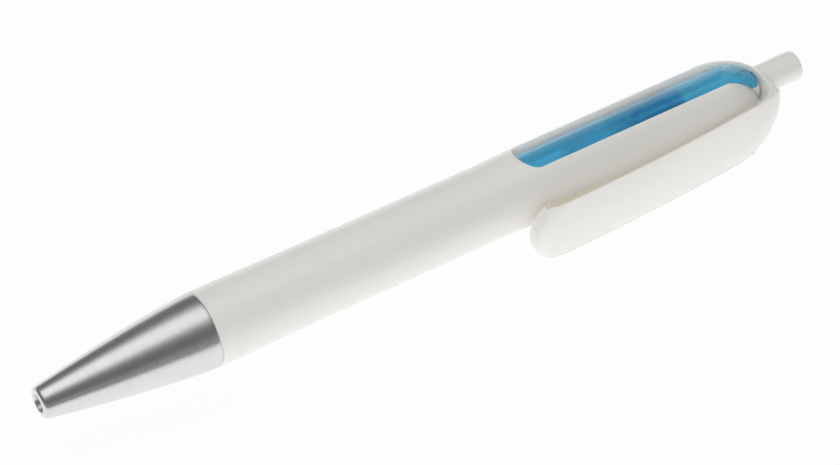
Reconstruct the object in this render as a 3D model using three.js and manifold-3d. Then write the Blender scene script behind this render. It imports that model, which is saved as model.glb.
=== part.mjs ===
// A push-button ballpoint pen. The white moulded barrel ends in a loop that carries the clip,
// and a window cut through it shows a clear blue guide sleeve with the click mechanism inside.
// A satin plated nose cone screws into the front and holds the return spring.
// Millimetres. Distances along the pen run from the tip of the nose, and the pen lies on its side:
// +X towards the button, the clip towards -Y, +Z up from the surface that it rests on.
import * as THREE from "three";
import { mergeVertices } from "three/addons/utils/BufferGeometryUtils.js";
import Module from "manifold-3d";

const wasm = await Module();
wasm.setup();

// Lengths along the pen
const noseLength = 28.3; // tip to the seam with the barrel
const barrelLength = 94; // seam to where the rear end starts to round off
const buttonProud = 6.2; // how far the button stands out of the loop
const windowLength = 36.95; // window's front end to the start of the rounding
const clipLength = 40.6; // clip's tip to the start of the rounding

// Barrel
const barrelRadius = 6.2;
const waistDepth = 0.14; // the barrel is a little slimmer between the seam and the window
const waistFrontEase = 22; // length over which the front end slims down to the waist
const waistRearEase = 7; // length over which it swells again in front of the window
const barrelWall = 1;
const backStrip = 1.25; // depth of the barrel's strip behind the window, on the back
const tongueDepth = 4.05; // depth of its tongue on the clip side
const windowRound = 2.9; // depth of the window's rounded front end
const tongueStart = 1; // the tongue's end starts to round off this far behind the rest
const tongueGap = 0.4; // between the tongue's rounded end and the loop
const tongueOff = 0.15; // the point that the tongue's end narrows to, from its edge
const tongueThin = 1.54; // how that end thins down, seen from the side: 2 is an ellipse
const tongueNarrow = 1.3; // how it narrows, seen from above
const tongueSolid = 0.5; // the tongue is solid from this far behind the bore's end

// Loop and clip
const loopCentreOff = 1.25; // the point that the rear end narrows to, from the tongue's edge
const loopInnerStart = 0.7; // centre of the loop's round inner wall, behind the same start
const loopThin = 0.5; // that wall is this much flatter on the clip side
const loopWall = 2.6; // thickness of the loop at its very back
const clipHalfWidth = barrelRadius; // so the pen lies flat on its side
const clipEdgeRise = 4.68; // the clip's outer edge at its tip, from the barrel's side
const clipEdgeArc = 424; // radius of the long bend of that edge
const clipEdgeFlat = 1.5; // where that bend runs level, behind the clip's tip
const clipArch = 1; // rise of the clip's outer face over its edges
const clipLip = 0.45; // thickness of the clip's outer skin at its edges
const clipInnerRise = 3.48; // widest gap between the barrel and the clip's inner face
const clipInnerArc = 192; // radius of that face's bend
const clipInnerFlat = 17.5; // where that bend runs level, behind the clip's tip
const clipTipRound = 2.6; // depth of the clip's rounded tip, seen from the front
const clipTipFall = 1; // how much the outer face rolls off along the tip's edge
const clipTipFallWidth = 2.4;
const clipSideInset = 0.25; // the inner rib's sides lie this far inside the skin's edges
const clipRibFront = 3.6; // front end of those sides, behind the clip's tip
const clipRibCorner = 0.8;
const clipRibBack = 2.5; // back end of the rib, behind the start of the rounding
const hingeGap = 0.3; // between the clip and the loop that it grows from

// Nose cone
const noseTipRadius = 2.1;
const noseShoulderRadius = 2.55; // the cone's radius where its rounded front edge would start
const noseEdge = 0.9; // length of that rounded edge
const noseSwell = 1.33; // how full the cone's curve is
const noseBore = 1.45;
const noseBoreLength = 4.6;
const springChamber = 2.5;
const springSeatSlope = 1.1;
const spigotLength = 8.2;
const spigotWall = 1.2;
const threadClearance = 0.3;

// Guide sleeve
const sleeveClearance = 0.2;
const sleeveWall = 0.65;
const sleeveDomeOff = 2.5; // the sleeve's domed end starts this far behind the rounding
const seatGap = 0.3; // between pieces that seat on each other
const guideRibWidth = 38; // degrees
const guideRibLength = 19.2;

// Button and click mechanism
const buttonRadius = 2.5;
const buttonRound = 0.7; // radius of the rounded edge of the button's end
const buttonClearance = 0.25;
const buttonStroke = 5.5;
const buttonPinRadius = 1.6;
const buttonPinLength = 3.2;
const pinClearance = 0.25;
const camClearance = 0.3;
const camWall = 1.25;
const camRibs = 4;
const plungerRibWidth = 14; // degrees
const plungerRibOff = 2.2; // from the tips of its teeth
const plungerRibLength = 5.8;
const rotorRibWidth = 14; // degrees
const rotorRibLength = 2.3;
const rotorTurn = 22.5; // degrees that the rotor turns as the button goes in
const crownTeeth = 8;
const crownDepth = 0.9;
const crownOff = 15; // the crowns' meeting line, in front of the start of the rounding
const plungerLength = 8.25;
const rotorHeadLength = 1.6;
const rotorStemLength = 9.9;
const rotorStemWall = 1; // round the refill's socket
const rotorStemStep = 0.55; // the rotor's stem is this much slimmer than its head
const rotorStemChamfer = 0.5;

// Refill
const tubeRadius = 1.5;
const tubeWall = 0.35;
const inkClearance = 0.15;
const inkLength = 58;
const socketClearance = 0.3;
const socketDepth = 3.4;
const ballSunk = 2; // the ball's front, behind the tip while the pen is closed
const ballRadius = 0.5;
const ballClearance = 0.06;
const nibFrontRadius = 0.68;
const nibRadius = 1.1;
const nibTaper = 3.4;
const nibLength = 10.6;
const nibTail = 2.4; // the part of the nib that is pushed into its holder
const nibTailRadius = 0.7;
const holderRadius = 1.25;
const holderLength = 11.6;
const collarRadius = 2.15;
const collarLength = 1.6;
const holderTailLength = 3;
const holderTailRadius = 0.8;

// Return spring
const springWire = 0.42; // diameter
const springMean = 1.84; // radius of the coil's centre line
const springCurls = 11;

// Facets
const around = 48; // round the barrel
const aroundSmall = 24; // round the refill
const domeSteps = 8;
const curveSteps = 10;

// Positions that follow from the sizes
const waistRadius = barrelRadius - waistDepth;
const barrelBore = barrelRadius - barrelWall;
const windowBack = barrelRadius - backStrip; // window's edge on the back, from the pen's axis
const windowClip = barrelRadius - tongueDepth; // and its edge on the clip side
const loopInner = windowBack + windowClip; // radius of the loop's inner wall
const clipEdgeOff = barrelRadius + clipEdgeRise;
const clipInnerOff = barrelRadius + clipInnerRise;
const loopStart = noseLength + barrelLength;
const loopInnerEnd = loopStart + loopInnerStart + loopInner;
const loopReach = loopInnerStart + loopInner + loopWall;
const loopMiddle = windowClip + loopCentreOff;
const loopEnd = loopStart + loopReach;
const penEnd = loopEnd + buttonProud;
const windowFront = loopStart - windowLength;
const clipTip = loopStart - clipLength;
const clipRoot = loopStart - hingeGap;
const tongueReach = loopInnerStart + loopInner - tongueStart - tongueGap;
const tongueMiddle = windowClip + tongueOff;
const tongueEnd = loopStart + tongueStart + tongueReach;
const spigotRadius = barrelBore - threadClearance;
const spigotBore = spigotRadius - spigotWall;
const spigotEnd = noseLength + spigotLength;
const sleeveFront = spigotEnd + seatGap;
const sleeveRadius = barrelBore - sleeveClearance;
const sleeveBore = sleeveRadius - sleeveWall;
const socketRadius = tubeRadius + socketClearance;
const rotorStemRadius = socketRadius + rotorStemWall;
const camRadius = rotorStemRadius + rotorStemStep;
const camBore = camRadius - camWall;
const camRibRadius = sleeveBore - camClearance;
const guideRibInner = camRadius + camClearance;
const sleeveEnd = loopInnerEnd - seatGap;
const sleeveDomeStart = loopStart + sleeveDomeOff;
const sleeveDome = sleeveEnd - sleeveDomeStart;
const sleeveCut = loopStart + tongueSolid - seatGap;
const crownLine = loopStart - crownOff;
const plungerCrown = crownLine + seatGap / 2;
const plungerBack = plungerCrown + crownDepth + plungerLength;
const rotorCrown = crownLine - seatGap / 2;
const rotorHeadFront = rotorCrown - crownDepth - rotorHeadLength;
const rotorFront = rotorHeadFront - rotorStemLength;
const guideRibFront = rotorHeadFront + rotorRibLength - buttonStroke + seatGap + 0.1;
const refillBack = rotorFront + socketDepth;
const nibFront = ballSunk + ballRadius * 0.6;
const nibBack = nibFront + nibLength;
const holderFront = nibBack + 0.1;
const collarFront = holderFront + holderLength;
const collarBack = collarFront + collarLength;
const tubeFront = collarBack + 0.1;
const springSeat = noseBoreLength + springSeatSlope;
const springFront = springSeat + seatGap;
const springBack = collarFront - seatGap;

const degrees = THREE.MathUtils.degToRad;
const ease = (t) => THREE.MathUtils.smoothstep(t, 0, 1);

// The barrel's outer radius along the pen.
function barrelRadiusAt(x) {
  const slimmed = ease((x - noseLength) / waistFrontEase);
  const swollen = ease((x - windowFront + waistRearEase) / waistRearEase);
  return barrelRadius - (barrelRadius - waistRadius) * (slimmed - swollen);
}

// The nose cone's outer radius along the pen.
function noseRadiusAt(x) {
  const left = 1 - x / noseLength;
  return barrelRadius - (barrelRadius - noseShoulderRadius) * left ** noseSwell;
}

// Distance of the clip's outer edge, and of its inner face, from the pen's axis.
function clipEdgeAt(x) {
  return clipEdgeOff - (x - clipTip - clipEdgeFlat) ** 2 / (2 * clipEdgeArc);
}
function clipInnerAt(x) {
  return clipInnerOff - (x - clipTip - clipInnerFlat) ** 2 / (2 * clipInnerArc);
}

// The fraction of its full size that a rounded end keeps at a share t of its length. Power 2 gives
// an ellipse, and a smaller one a more pointed end.
const domeShare = (t, power = 2) => Math.max(0, 1 - t ** power) ** (1 / power);

function range(from, to, steps) {
  return Array.from({ length: steps + 1 }, (_, i) => from + ((to - from) * i) / steps);
}

// Points of a rounded end from radius r at x0 to the axis, reach long.
function domeProfile(x0, r, reach, endRadius = 0) {
  const endAngle = Math.acos(endRadius / r);
  return range(0, endAngle, domeSteps).map((t) => [x0 + reach * Math.sin(t), r * Math.cos(t)]);
}

// A closed three.js geometry as a solid that can be joined and cut.
function solid(geometry) {
  const bare = geometry.clone();
  for (const name of Object.keys(bare.attributes)) {
    if (name !== "position") bare.deleteAttribute(name);
  }
  const merged = mergeVertices(bare, 1e-4);
  const corners = [];
  const index = merged.index.array;
  for (let i = 0; i < index.length; i += 3) {
    const [a, b, c] = [index[i], index[i + 1], index[i + 2]];
    if (a !== b && b !== c && c !== a) corners.push(a, b, c);
  }
  return new wasm.Manifold(
    new wasm.Mesh({
      numProp: 3,
      vertProperties: new Float32Array(merged.attributes.position.array),
      triVerts: new Uint32Array(corners),
    }),
  );
}

// A turned piece: its profile is a list of [distance along the pen, radius].
function turned(profile, segments = around) {
  const points = profile.map(([x, r]) => new THREE.Vector2(r, x));
  return solid(new THREE.LatheGeometry(points, segments).rotateZ(-Math.PI / 2));
}

// A tube or stepped bush: the outer profile runs back to front, the inner one front to back.
function turnedRing(outer, inner, segments = around) {
  return turned([...outer, ...inner, outer[0]], segments);
}

// A flat outline in X and Y, extruded between two heights.
function upright(shape, low, high, curve = 12) {
  const options = { depth: high - low, bevelEnabled: false, curveSegments: curve };
  return solid(new THREE.ExtrudeGeometry(shape, options).translate(0, 0, low));
}

// A slice of a tube between two radii, centred on an angle from −Z, between two places along X.
function sector(inner, outer, centre, width, from, to) {
  const shape = new THREE.Shape();
  const [start, end] = [degrees(centre - width / 2), degrees(centre + width / 2)];
  shape.absarc(0, 0, outer, start, end, false);
  shape.absarc(0, 0, inner, end, start, true);
  const options = { depth: to - from, bevelEnabled: false, curveSegments: 4 };
  const geometry = new THREE.ExtrudeGeometry(shape, options).rotateY(Math.PI / 2);
  return solid(geometry.translate(from, 0, 0));
}

// A skin through a row of outlines with the same number of points, closed at both ends. The
// outlines turn from +Y to +Z, and the row runs towards +X.
function lofted(outlines) {
  const count = outlines[0].length;
  const middle = (outline) =>
    outline.reduce((sum, p) => sum.add(p), new THREE.Vector3()).divideScalar(count);
  const first = outlines[0];
  const last = outlines[outlines.length - 1];
  const points = [...outlines.flat(), middle(first), middle(last)];
  const triangles = [];
  for (let ring = 0; ring + 1 < outlines.length; ring++) {
    for (let i = 0; i < count; i++) {
      const [a, b] = [ring * count + i, ring * count + ((i + 1) % count)];
      triangles.push(a, b, a + count, b, b + count, a + count);
    }
  }
  const [front, back] = [points.length - 2, points.length - 1];
  const lastRing = (outlines.length - 1) * count;
  for (let i = 0; i < count; i++) {
    const next = (i + 1) % count;
    triangles.push(front, next, i, back, lastRing + i, lastRing + next);
  }
  return solid(new THREE.BufferGeometry().setFromPoints(points).setIndex(triangles));
}

// A ring whose face carries V-shaped teeth. The teeth point along dir from the line tips.
function crown(back, tips, inner, outer) {
  const steps = crownTeeth * 4;
  const towards = Math.sign(tips - back);
  const rings = [
    [outer, false],
    [outer, true],
    [inner, true],
    [inner, false],
  ];
  const points = [];
  for (let i = 0; i < steps; i++) {
    const angle = (2 * Math.PI * i) / steps;
    const wave = Math.abs(((i / 4) % 1) * 2 - 1);
    for (const [radius, toothed] of rings) {
      const x = toothed ? tips - towards * crownDepth * wave : back;
      points.push(new THREE.Vector3(x, radius * Math.sin(angle), radius * Math.cos(angle)));
    }
  }
  const triangles = [];
  for (let i = 0; i < steps; i++) {
    for (let j = 0; j < 4; j++) {
      const [a, b] = [i * 4 + j, i * 4 + ((j + 1) % 4)];
      const [c, d] = [((i + 1) % steps) * 4 + j, ((i + 1) % steps) * 4 + ((j + 1) % 4)];
      if (towards > 0) triangles.push(a, b, c, c, b, d);
      else triangles.push(a, c, b, b, c, d);
    }
  }
  return solid(new THREE.BufferGeometry().setFromPoints(points).setIndex(triangles));
}

// Outline of the rear end, seen along the pen, at a share of its full size.
function rearOutline(x) {
  const share = domeShare((x - loopStart) / loopReach);
  const edge = clipEdgeAt(x);
  const outline = [];
  for (const angle of range(-90, 90, around / 2)) {
    const turn = degrees(angle);
    outline.push([barrelRadius * Math.cos(turn), barrelRadius * Math.sin(turn)]);
  }
  for (const t of range(1, -1, curveSteps)) {
    outline.push([-edge - clipArch * (1 - t * t), clipHalfWidth * t]);
  }
  return outline.map(([y, z]) => {
    return new THREE.Vector3(x, (y + loopMiddle) * share - loopMiddle, z * share);
  });
}

// Outline of the tongue, seen along the pen. Its rounded end is fuller from the side than from above.
function tongueOutline(x) {
  const t = Math.max(0, x - loopStart - tongueStart) / tongueReach;
  const thin = domeShare(t, tongueThin);
  const narrow = domeShare(t, tongueNarrow);
  const half = Math.acos(windowClip / barrelRadius);
  return range(Math.PI - half, Math.PI + half, around / 2).map((turn) => {
    const y = barrelRadius * Math.cos(turn) + tongueMiddle;
    return new THREE.Vector3(x, y * thin - tongueMiddle, barrelRadius * Math.sin(turn) * narrow);
  });
}

function barrelShell() {
  const stations = [
    ...range(noseLength, noseLength + waistFrontEase, 5),
    ...range(windowFront - waistRearEase, windowFront, 4),
  ];
  const outer = stations.map((x) => [x, barrelRadiusAt(x)]);
  const rear = loopStart + hingeGap;
  let tube = turned([[noseLength, 0], ...outer, [rear, barrelRadius], [rear, 0]]);

  // The window goes right through the barrel, with a rounded front end.
  const middle = (windowBack - windowClip) / 2;
  const half = (windowBack + windowClip) / 2;
  const window = new THREE.Shape();
  const roundEnd = windowFront + windowRound;
  window.moveTo(loopEnd, -windowClip);
  window.lineTo(loopEnd, windowBack);
  window.lineTo(roundEnd, windowBack);
  window.absellipse(roundEnd, middle, windowRound, half, Math.PI / 2, 1.5 * Math.PI, false);
  tube = tube.subtract(upright(window, -2 * barrelRadius, 2 * barrelRadius, 10));

  // The tongue's rounded end
  const tongueSteps = range(0, Math.PI / 2, domeSteps).slice(0, -1);
  const tongueRings = tongueSteps.map((t) => loopStart + tongueStart + tongueReach * Math.sin(t));
  const tongue = lofted([loopStart, ...tongueRings, tongueEnd - 0.03].map(tongueOutline));

  // The loop: a rounded end round a round opening that runs into the window and the clip's gap.
  const sections = range(0, Math.PI / 2, domeSteps + 4)
    .slice(0, -1)
    .map((t) => rearOutline(loopStart + loopReach * Math.sin(t)));
  const opening = new THREE.Shape();
  const centre = loopStart + loopInnerStart;
  const flatter = loopInner - loopThin;
  opening.absellipse(centre, -windowClip, loopInner, loopInner, 0, Math.PI, false);
  opening.absellipse(centre, -windowClip, loopInner, flatter, Math.PI, 2 * Math.PI, false);
  const rib = new THREE.Shape();
  rib.moveTo(loopStart - 1, -2 * barrelRadius);
  rib.lineTo(loopStart + clipRibBack, -2 * barrelRadius);
  rib.lineTo(loopStart + clipRibBack, -clipInnerAt(loopStart + clipRibBack));
  rib.lineTo(loopStart - 1, -clipInnerAt(loopStart - 1));
  const space = upright(opening, -2 * clipHalfWidth, 2 * clipHalfWidth, 16);
  const loop = lofted(sections).subtract(
    space.subtract(upright(rib, -2 * clipHalfWidth, 2 * clipHalfWidth)),
  );

  // The bore is flat-ended in the tongue, and domed like the sleeve in the loop.
  const mouth = [
    [noseLength - 1, 0],
    [noseLength - 1, barrelBore],
  ];
  const boreEnd = loopStart + tongueSolid;
  const bore = turned([...mouth, [boreEnd, barrelBore], [boreEnd, 0]]);
  const boreDome = sleeveDome + sleeveClearance;
  const domed = turned([...mouth, ...domeProfile(sleeveDomeStart, barrelBore, boreDome)]);
  return tube.add(tongue).subtract(bore).add(loop.subtract(domed)).subtract(buttonHole());
}

// The space that the button slides in.
function buttonHole() {
  const radius = buttonRadius + buttonClearance;
  return turned([
    [loopStart, 0],
    [loopStart, radius],
    [penEnd, radius],
    [penEnd, 0],
  ]);
}

function clip() {
  const tipArc = (clipHalfWidth ** 2 + clipTipRound ** 2) / (2 * clipTipRound);
  const outline = (x) => {
    const along = x - clipTip;
    const half =
      along < clipTipRound ? Math.sqrt(tipArc ** 2 - (tipArc - along) ** 2) : clipHalfWidth;
    const outer = range(1, -1, curveSteps).map((t) => {
      const rise = clipArch * (1 - ((t * half) / clipHalfWidth) ** 2);
      const inward = Math.max(0, tipArc - Math.hypot(tipArc - along, t * half));
      const rolled = along > tipArc ? 1 : Math.min(1, inward / clipTipFallWidth);
      const fall = clipTipFall * (1 - domeShare(1 - rolled));
      return new THREE.Vector3(x, -(clipEdgeAt(x) + rise - fall), t * half);
    });
    const inner = -clipInnerAt(x);
    return [new THREE.Vector3(x, inner, -half), new THREE.Vector3(x, inner, half), ...outer];
  };
  const tip = range(0.12, 1, 7).map((t) => clipTip + clipTipRound * t * t);
  const roll = range(clipTip + clipTipRound, clipTip + 2 * clipTipRound, 4).slice(1);
  const body = range(clipTip + 2 * clipTipRound, clipRoot, 10).slice(1);
  let made = lofted([...tip, ...roll, ...body].map(outline));

  // Along both sides the skin overhangs the rib on the inner face.
  const recess = new THREE.Shape();
  const front = clipTip + clipRibFront;
  const lip = (x) => -(clipEdgeAt(x) - clipLip);
  recess.moveTo(front, 0);
  recess.lineTo(front, lip(front) + clipRibCorner);
  recess.quadraticCurveTo(front, lip(front), front + clipRibCorner, lip(front + clipRibCorner));
  for (const x of range(front + clipRibCorner, loopStart, 10).slice(1)) recess.lineTo(x, lip(x));
  recess.lineTo(loopStart, 0);
  const inside = clipHalfWidth - clipSideInset;
  made = made.subtract(upright(recess, inside, 2 * clipHalfWidth, 4));
  return made.subtract(upright(recess, -2 * clipHalfWidth, -inside, 4));
}

function noseCone() {
  const edge = range(0, Math.PI / 2, 4).map((t) => {
    const r = noseTipRadius + (noseRadiusAt(noseEdge) - noseTipRadius) * Math.sin(t);
    return [noseEdge * (1 - Math.cos(t)), r];
  });
  const skin = range(noseEdge, noseLength, 14).slice(1);
  const outer = [
    ...edge,
    ...skin.map((x) => [x, noseRadiusAt(x)]),
    [noseLength, spigotRadius],
    [spigotEnd - threadClearance, spigotRadius],
    [spigotEnd, spigotRadius - threadClearance],
  ];
  const inner = [
    [spigotEnd, spigotBore],
    [noseLength, spigotBore],
    [noseLength - spigotBore + springChamber, springChamber],
    [springSeat, springChamber],
    [noseBoreLength, noseBore],
    [0, noseBore],
  ];
  return turnedRing(outer, inner);
}

// The clear tube that guides the mechanism, with ribs inside. Its domed end is cut off flat along
// the tongue.
function guideSleeve() {
  const inner = domeProfile(sleeveDomeStart, sleeveBore, sleeveDome - sleeveWall);
  const outer = domeProfile(sleeveDomeStart, sleeveRadius, sleeveDome);
  const tube = turned([[sleeveFront, 0], [sleeveFront, sleeveRadius], ...outer]);
  const space = turned([[sleeveFront - 1, 0], [sleeveFront - 1, sleeveBore], ...inner]);
  const side = new THREE.Shape();
  side.moveTo(sleeveCut, -sleeveRadius - 1);
  side.lineTo(penEnd, -sleeveRadius - 1);
  side.lineTo(penEnd, -windowClip + seatGap);
  side.lineTo(sleeveCut, -windowClip + seatGap);
  let made = tube.subtract(space).subtract(buttonHole());
  made = made.subtract(upright(side, -2 * sleeveRadius, 2 * sleeveRadius));
  const overlap = sleeveWall / 2;
  for (let i = 0; i < camRibs; i++) {
    const angle = (360 * (i + 0.5)) / camRibs;
    const [from, to] = [guideRibFront, guideRibFront + guideRibLength];
    const rib = sector(guideRibInner, sleeveBore + overlap, angle, guideRibWidth, from, to);
    made = made.add(rib);
  }
  return made;
}

function pushButton() {
  const end = range(0, Math.PI / 2, 5).map((t) => {
    return [penEnd - buttonRound * (1 - Math.sin(t)), buttonRadius - buttonRound * (1 - Math.cos(t))];
  });
  const back = plungerBack + seatGap;
  return turned(
    [
      [back - buttonPinLength, 0],
      [back - buttonPinLength, buttonPinRadius],
      [back, buttonPinRadius],
      [back, buttonRadius],
      ...end,
      [penEnd, 0],
    ],
    32,
  );
}

// Pushes the rotor. Its ribs run in the sleeve's grooves, and the button's pin sits in its back.
function camPlunger() {
  const front = plungerCrown + crownDepth;
  const socketFront = plungerBack + seatGap - buttonPinLength - seatGap;
  let made = turnedRing(
    [
      [front, camRadius],
      [plungerBack, camRadius],
    ],
    [
      [plungerBack, buttonPinRadius + pinClearance],
      [socketFront, buttonPinRadius + pinClearance],
      [socketFront, camBore],
      [front, camBore],
    ],
  );
  made = made.add(crown(front + 0.5, plungerCrown, camBore, camRadius));
  const ribFront = plungerCrown + plungerRibOff;
  const ribBack = ribFront + plungerRibLength;
  const overlap = (camRadius - camBore) / 2;
  for (let i = 0; i < camRibs; i++) {
    const angle = (360 * i) / camRibs;
    made = made.add(
      sector(camRadius - overlap, camRibRadius, angle, plungerRibWidth, ribFront, ribBack),
    );
  }
  return made;
}

// Turns a step at each press. Its stem holds the end of the refill.
function camRotor() {
  const headBack = rotorHeadFront + rotorHeadLength;
  let made = turnedRing(
    [
      [rotorFront, rotorStemRadius - rotorStemChamfer],
      [rotorFront + rotorStemChamfer, rotorStemRadius],
      [rotorHeadFront, rotorStemRadius],
      [rotorHeadFront, camRadius],
      [headBack, camRadius],
    ],
    [
      [headBack, camBore],
      [headBack - 1, 1],
      [refillBack + socketClearance, 1],
      [refillBack + socketClearance, socketRadius],
      [rotorFront, socketRadius],
    ],
  );
  made = made.add(crown(headBack - 0.5, rotorCrown, camBore, camRadius));
  const overlap = (camRadius - camBore) / 2;
  const ribFront = rotorHeadFront;
  for (let i = 0; i < camRibs; i++) {
    const angle = (360 * i) / camRibs - rotorTurn / 2;
    const [from, to] = [ribFront, ribFront + rotorRibLength];
    made = made.add(sector(camRadius - overlap, camRibRadius, angle, rotorRibWidth, from, to));
  }
  return made;
}

function refillTube() {
  const bore = tubeRadius - tubeWall;
  return turnedRing(
    [
      [tubeFront, tubeRadius],
      [refillBack, tubeRadius],
    ],
    [
      [refillBack, bore],
      [tubeFront, bore],
    ],
    aroundSmall,
  );
}

function refillInk() {
  const radius = tubeRadius - tubeWall - inkClearance;
  const front = collarBack + holderTailLength + seatGap;
  return turned(
    [
      [front, 0],
      [front, radius],
      [front + inkLength, radius],
      [front + inkLength - radius / 2, 0],
    ],
    aroundSmall,
  );
}

// The plastic holder between the tube and the metal nib, with the collar that the spring pushes.
function refillHolder() {
  const socket = nibTailRadius + inkClearance;
  return turnedRing(
    [
      [holderFront, holderRadius],
      [collarFront, holderRadius],
      [collarFront, collarRadius],
      [collarBack, collarRadius],
      [collarBack, holderTailRadius],
      [collarBack + holderTailLength, holderTailRadius],
    ],
    [
      [collarBack + holderTailLength, holderTailRadius / 2],
      [holderFront + nibTail + seatGap, holderTailRadius / 2],
      [holderFront + nibTail + seatGap, socket],
      [holderFront, socket],
    ],
    aroundSmall,
  );
}

// The metal point, with a cup for the ball and an ink channel.
function refillNib() {
  const cup = ballRadius + ballClearance;
  const ballCentre = ballSunk + ballRadius;
  const cupEdge = Math.acos((ballCentre - nibFront) / cup);
  const channel = ballRadius / 2;
  const cupEnd = Math.PI - Math.asin(channel / cup);
  const cupProfile = range(cupEnd, cupEdge, 6).map((t) => {
    return [ballCentre - cup * Math.cos(t), cup * Math.sin(t)];
  });
  return turnedRing(
    [
      [nibFront, nibFrontRadius],
      [nibFront + nibTaper, nibRadius],
      [nibBack, nibRadius],
      [nibBack, nibTailRadius],
      [nibBack + nibTail, nibTailRadius],
    ],
    [[nibBack + nibTail, channel], ...cupProfile],
    aroundSmall,
  );
}

function nibBall() {
  const geometry = new THREE.SphereGeometry(ballRadius, 16, 10);
  return solid(geometry.translate(ballSunk + ballRadius, 0, 0));
}

// A wire along a helix, with a short straight end towards each seat.
function returnSpring() {
  const length = springBack - springFront - 2 * springWire;
  const sidesOfWire = 5;
  const stepsPerCurl = 8;
  const steps = springCurls * stepsPerCurl;
  const place = (t, x) => {
    const turn = 2 * Math.PI * springCurls * t;
    return new THREE.Vector3(x, springMean * Math.sin(turn), springMean * Math.cos(turn));
  };
  const path = range(0, 1, steps).map((t) => place(t, springFront + springWire + length * t));
  path.unshift(place(0, springFront));
  path.push(place(1, springBack));

  const outlines = path.map((centre, i) => {
    const ahead = path[Math.min(i + 1, path.length - 1)];
    const behind = path[Math.max(i - 1, 0)];
    const along = ahead.clone().sub(behind).normalize();
    const out = new THREE.Vector3(0, centre.y, centre.z).normalize();
    const across = along.clone().cross(out).normalize();
    const level = across.clone().cross(along).normalize();
    return range(0, sidesOfWire - 1, sidesOfWire - 1).map((side) => {
      const turn = (2 * Math.PI * side) / sidesOfWire;
      const point = centre.clone().addScaledVector(level, (springWire / 2) * Math.cos(turn));
      return point.addScaledVector(across, (springWire / 2) * Math.sin(turn));
    });
  });

  // The least distance between one curl and the next, less the wire itself
  let least = Infinity;
  path.forEach((p, i) => {
    for (let j = i + stepsPerCurl - 2; j < path.length; j++) {
      least = Math.min(least, p.distanceTo(path[j]) - springWire);
    }
  });
  console.log("return_spring: least gap between curls " + least.toFixed(2) + " mm");
  return lofted(outlines);
}

// Colours of the pieces
const finishes = {
  white: { color: 0xeceae6, roughness: 0.28, metalness: 0 },
  plated: { color: 0xb9b8b6, roughness: 0.32, metalness: 1 },
  blue: { color: 0x3b93c4, roughness: 0.12, metalness: 0 },
  cam: { color: 0x2a62b4, roughness: 0.3, metalness: 0 },
  steel: { color: 0xc8c8ca, roughness: 0.25, metalness: 1 },
  clear: { color: 0xe6ebee, roughness: 0.2, metalness: 0 },
  ink: { color: 0x14224f, roughness: 0.4, metalness: 0 },
  brass: { color: 0xc9a45a, roughness: 0.3, metalness: 1 },
};

const pieces = {
  barrel_shell: [barrelShell, "white"],
  clip: [clip, "white"],
  nose_cone: [noseCone, "plated"],
  guide_sleeve: [guideSleeve, "blue"],
  push_button: [pushButton, "white"],
  cam_plunger: [camPlunger, "cam"],
  cam_rotor: [camRotor, "cam"],
  return_spring: [returnSpring, "steel"],
  refill_tube: [refillTube, "clear"],
  refill_ink: [refillInk, "ink"],
  refill_holder: [refillHolder, "clear"],
  refill_nib: [refillNib, "brass"],
  nib_ball: [nibBall, "steel"],
};

function meshOf(name, make, finish) {
  const made = make().getMesh();
  const geometry = new THREE.BufferGeometry();
  const positions = new Float32Array(made.numVert * 3);
  for (let i = 0; i < made.numVert; i++) {
    const at = i * made.numProp;
    positions.set(made.vertProperties.subarray(at, at + 3), i * 3);
  }
  geometry.setAttribute("position", new THREE.BufferAttribute(positions, 3));
  geometry.setIndex(new THREE.BufferAttribute(new Uint32Array(made.triVerts), 1));
  geometry.computeVertexNormals();
  const mesh = new THREE.Mesh(geometry, new THREE.MeshStandardMaterial(finishes[finish]));
  mesh.name = name;
  return mesh;
}

// The origin is under the middle of the pen's box, on the surface that it lies on.
const pen = new THREE.Group();
const clipReach = clipEdgeOff + clipArch;
pen.position.set(-penEnd / 2, (clipReach - barrelRadius) / 2, barrelRadius);
for (const [name, [make, finish]] of Object.entries(pieces)) {
  pen.add(meshOf(name, make, finish));
}

export default pen;
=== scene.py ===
# Push-button ballpoint pen, lying on a white table. Lengths of the pen are in millimetres from the
# tip of its nose (x), from its axis (y, the clip is at minus y) and up (z).
import math
from functools import partial

import bmesh
import bpy
import numpy as np
from mathutils import Matrix, Vector


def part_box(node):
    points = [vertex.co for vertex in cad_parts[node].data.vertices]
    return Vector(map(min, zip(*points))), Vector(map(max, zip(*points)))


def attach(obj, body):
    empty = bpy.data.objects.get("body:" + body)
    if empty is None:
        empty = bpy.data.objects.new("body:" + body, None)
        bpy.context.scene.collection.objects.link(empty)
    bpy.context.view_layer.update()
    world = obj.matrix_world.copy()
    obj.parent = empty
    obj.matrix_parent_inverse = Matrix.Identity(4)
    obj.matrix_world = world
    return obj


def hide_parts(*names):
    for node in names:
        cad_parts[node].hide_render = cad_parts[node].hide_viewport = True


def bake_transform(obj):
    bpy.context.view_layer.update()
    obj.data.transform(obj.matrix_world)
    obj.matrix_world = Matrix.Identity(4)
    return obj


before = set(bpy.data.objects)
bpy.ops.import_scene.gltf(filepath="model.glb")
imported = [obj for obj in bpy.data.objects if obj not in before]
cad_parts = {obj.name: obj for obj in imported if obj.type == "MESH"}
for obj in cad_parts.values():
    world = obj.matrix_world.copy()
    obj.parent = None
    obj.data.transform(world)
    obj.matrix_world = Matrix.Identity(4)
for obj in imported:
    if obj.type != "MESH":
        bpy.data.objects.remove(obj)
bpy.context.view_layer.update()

noseLow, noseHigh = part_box("nose_cone")
penOrigin = Vector((noseLow.x, (noseLow.y + noseHigh.y) / 2, (noseLow.z + noseHigh.z) / 2))
mm = 0.001


# Materials: the darkest and the lightest tint of each, and its roughness from least to most

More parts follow.
